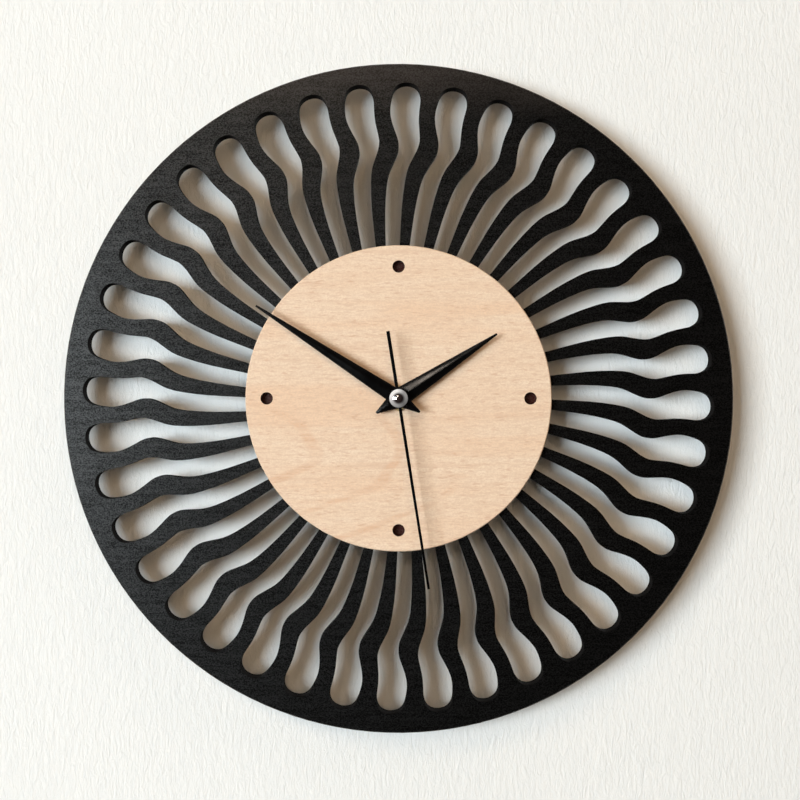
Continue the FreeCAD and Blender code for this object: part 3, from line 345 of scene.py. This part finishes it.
def make_materials():
    dress(black_wood(), "wave_ring")
    dress(birch(), "face_disc")
    dress(black_enamel("black_ridged_enamel", RIDGE_ROUNDING), "hour_hand", "minute_hand")
    dress(black_enamel("black_flat_enamel", SHEET_ROUNDING), "second_hand")
    dress(chrome(), "second_hand_cap")
    dress(turned("turned_brass", (0.78, 0.57, 0.27), (0.60, 0.40, 0.17)),
          "threaded_bush", "shaft_nut", "minute_arbor", "minute_nut", "hour_hand_collet",
          "second_hand_hub")
    dress(turned("drawn_steel", (0.60, 0.60, 0.59), (0.42, 0.42, 0.42), rough=0.22),
          "seconds_arbor", "coil_core", "stator")
    dress(turned("nickel_strip", (0.66, 0.64, 0.59), (0.50, 0.48, 0.44), rough=0.25),
          "positive_contact", "negative_contact", "clutch_spring", "hour_wheel_spring")
    dress(turned("crystal_can", (0.72, 0.72, 0.73), (0.58, 0.58, 0.60), rough=0.20),
          "quartz_crystal")
    dress(moulded("black_case_plastic", (0.016, 0.016, 0.017), rough=0.46),
          "movement_front_case", "movement_back_cover")
    dress(moulded("black_rubber", (0.014, 0.014, 0.014), 0.72, grain=900.0, depth=0.05 * MM),
          "rubber_washer")
    dress(acetal("white_acetal", (0.78, 0.78, 0.75), rough=0.38),
          "train_plate", "intermediate_wheel", "centre_wheel", "minute_wheel")
    dress(acetal("natural_acetal", (0.68, 0.66, 0.56)),
          "coil_bobbin", "rotor_pinion", "third_wheel", "hour_wheel")
    dress(acetal("red_acetal", (0.50, 0.045, 0.03)), "seconds_wheel")
    dress(moulded("white_knob_plastic", (0.66, 0.65, 0.61)), "setting_knob")
    dress(moulded("green_board", (0.030, 0.13, 0.045), 0.34, grain=700.0, depth=0.02 * MM),
          "circuit_board")
    dress(moulded("potting_resin", (0.012, 0.012, 0.012), 0.16, grain=500.0, depth=0.02 * MM),
          "controller_chip")
    dress(moulded("sintered_magnet", (0.055, 0.055, 0.060), 0.55, grain=1300.0,
                  depth=0.05 * MM), "rotor_magnet")
    dress(copper_winding(), "coil_winding")
    dress(sleeve(), "battery")


# Wall and light

WALL_HALF = 8.0
WALL_GAP = 0.5 * MM
LAMP_REACH = 4.0                    # distance of the front lamps
WHITE_WATTS = math.pi ** 2          # makes a white wall show white from one metre away

FRONT_LAMPS = (
    # name, tilt, heading, size, share, colour, mirrored
    ("window", 36, 271, (0.53, 0.30), 1.09, (0.845, 0.94, 1.0), True),
    ("window_top", 22, 334, (0.08, 0.10), 0.055, (1.0, 0.87, 0.74), True),
    ("room_left", 45, 315, (0.33, 0.27), 0.175, (1.0, 0.72, 0.46), False),
    ("room_right", 66, 35, (0.53, 0.53), 0.10, (1.0, 0.74, 0.50), False),
    ("room_front", 12, 40, (0.47, 0.47), 0.19, (1.0, 0.71, 0.45), False),
)
BACK_LAMPS = (
    # name, place, side, watts
    ("back_left", (1.2, 1.3, 0.7), 1.0, 34),
    ("back_right", (-1.2, 1.3, 0.3), 1.2, 20),
)


def wall():
    """Painted plaster right behind the clock, seen only from the front."""
    corners = [(x * WALL_HALF, WALL_GAP, z * WALL_HALF)
               for x, z in ((-1, -1), (1, -1), (1, 1), (-1, 1))]
    mesh = bpy.data.meshes.new("wall")
    mesh.from_pydata(corners, [], [(0, 1, 2, 3)])
    item = bpy.data.objects.new("wall", mesh)
    bpy.context.scene.collection.objects.link(item)
    s = Shade("painted_plaster")
    strokes = s.noise(s.coords((560, 560, 170)), 1.0, 5.0, 0.70, 0.8)
    cloud = s.noise(s.coords((3, 3, 3)), 1.0, 2.0, 0.5)
    colour = s.ramp(cloud, [(0.3, (0.842, 0.850, 0.834)), (0.7, (0.866, 0.878, 0.866))])
    normal = s.bump(strokes, 1.2 * MM, 0.60)
    paint = s.surface(colour, 0.75, normal, Specular_IOR_Level=0.2)
    clear = s.node("ShaderNodeBsdfTransparent")
    side = s.node("ShaderNodeNewGeometry").outputs["Backfacing"]
    blend = s.node("ShaderNodeMixShader")
    s.link(side, blend.inputs["Fac"])
    s.link(paint.outputs["BSDF"], blend.inputs[1])
    s.link(clear.outputs["BSDF"], blend.inputs[2])
    s.link(blend.outputs["Shader"], s.out.inputs["Surface"])
    mesh.materials.append(s.material)
    item.visible_shadow = False


def lamp(name, place, size, watts, colour=(1, 1, 1), mirrored=True):
    """A rectangular lamp that points at the clock's middle."""
    data = bpy.data.lights.new(name, "AREA")
    data.shape = "RECTANGLE"
    data.size, data.size_y = size
    data.energy = watts
    data.color = colour
    item = bpy.data.objects.new(name, data)
    item.location = place
    towards_clock = Vector((0, 0, 0)) - Vector(place)
    item.rotation_euler = towards_clock.to_track_quat("-Z", "Y").to_euler()
    item.visible_glossy = mirrored
    bpy.context.scene.collection.objects.link(item)


def front_lamp(name, tilt, heading, size, share, colour, mirrored):
    """Lamp at a tilt off the wall's normal, towards a heading clockwise from straight up.

    Its size is a share of its distance. Shares of light that sum to one show white as white.
    """
    turn, lean = math.radians(heading), math.radians(tilt)
    way = Vector((math.sin(lean) * math.sin(turn), -math.cos(lean),
                  math.sin(lean) * math.cos(turn)))
    watts = share * WHITE_WATTS * LAMP_REACH ** 2
    lamp(name, way * LAMP_REACH, [LAMP_REACH * side for side in size], watts, colour, mirrored)


def lights():
    for settings in FRONT_LAMPS:
        front_lamp(*settings)
    for name, place, side, watts in BACK_LAMPS:
        lamp(name, place, (side, side), watts)
    room()


def room():
    """Dim room. In mirrors its walls at the sides are lit; the camera sees it plain and pale."""
    world = bpy.data.worlds.new("room")
    bpy.context.scene.world = world
    world.use_nodes = True
    g = Graph(world.node_tree)
    parts = g.node("ShaderNodeSeparateXYZ")
    g.link(g.node("ShaderNodeTexCoord").outputs["Generated"], parts.inputs[0])
    way = parts.outputs
    ahead = g.times(way["Y"], -1.0)
    soft = g.ramp(ahead, [(0.45, (0.085, 0.072, 0.058)), (0.88, (0.005, 0.005, 0.004))])
    shiny = g.ramp(ahead, [(0.46, (0.98, 0.95, 0.92)), (0.78, (0.045, 0.030, 0.027))])
    shiny = g.mix(1.0, shiny, g.span(way["Z"], -1.1, 0.35, 0.25), "MULTIPLY")
    shiny = g.mix(1.0, shiny, g.span(way["X"], 0.65, -0.15, 0.32), "MULTIPLY")
    ray = g.node("ShaderNodeLightPath").outputs
    lit = g.mix(ray["Is Glossy Ray"], soft, shiny)
    seen = g.mix(ray["Is Camera Ray"], lit, (0.86, 0.85, 0.83))
    sky = g.tree.nodes["Background"]
    g.link(seen, sky.inputs["Color"])
    sky.inputs["Strength"].default_value = 1.0


# Camera

FRAME_PIXELS = 800
RING_PIXELS = 334.79                # the rim's radius in the picture
RING_CENTRE = (398.6, 398.4)        # in pixels from the upper left corner
RING_RADIUS = 0.150
RING_FRONT = 0.017                  # distance of the ring's front from the wall
DISTANCE = 0.600                    # of the camera from the ring's front
SENSOR_WIDTH = 36.0                 # in millimetres, as the lens is


def camera():
    """The camera faces the clock; the ring's rim and centre fix its lens and place."""
    focal = RING_PIXELS * DISTANCE / RING_RADIUS
    data = bpy.data.cameras.new("camera")
    data.sensor_width = SENSOR_WIDTH
    data.lens = SENSOR_WIDTH * focal / FRAME_PIXELS
    data.clip_start = 0.01
    data.clip_end = 50.0
    item = bpy.data.objects.new("camera", data)
    per_pixel = DISTANCE / focal
    right, down = ((FRAME_PIXELS / 2 - pixels) * per_pixel for pixels in RING_CENTRE)
    item.location = (right, -(RING_FRONT + DISTANCE), -down)
    item.rotation_euler = (math.radians(90), 0, 0)
    bpy.context.scene.collection.objects.link(item)
    bpy.context.scene.camera = item


make_materials()
wall()
lights()
camera()
bpy.context.scene.view_settings.view_transform = "Standard"
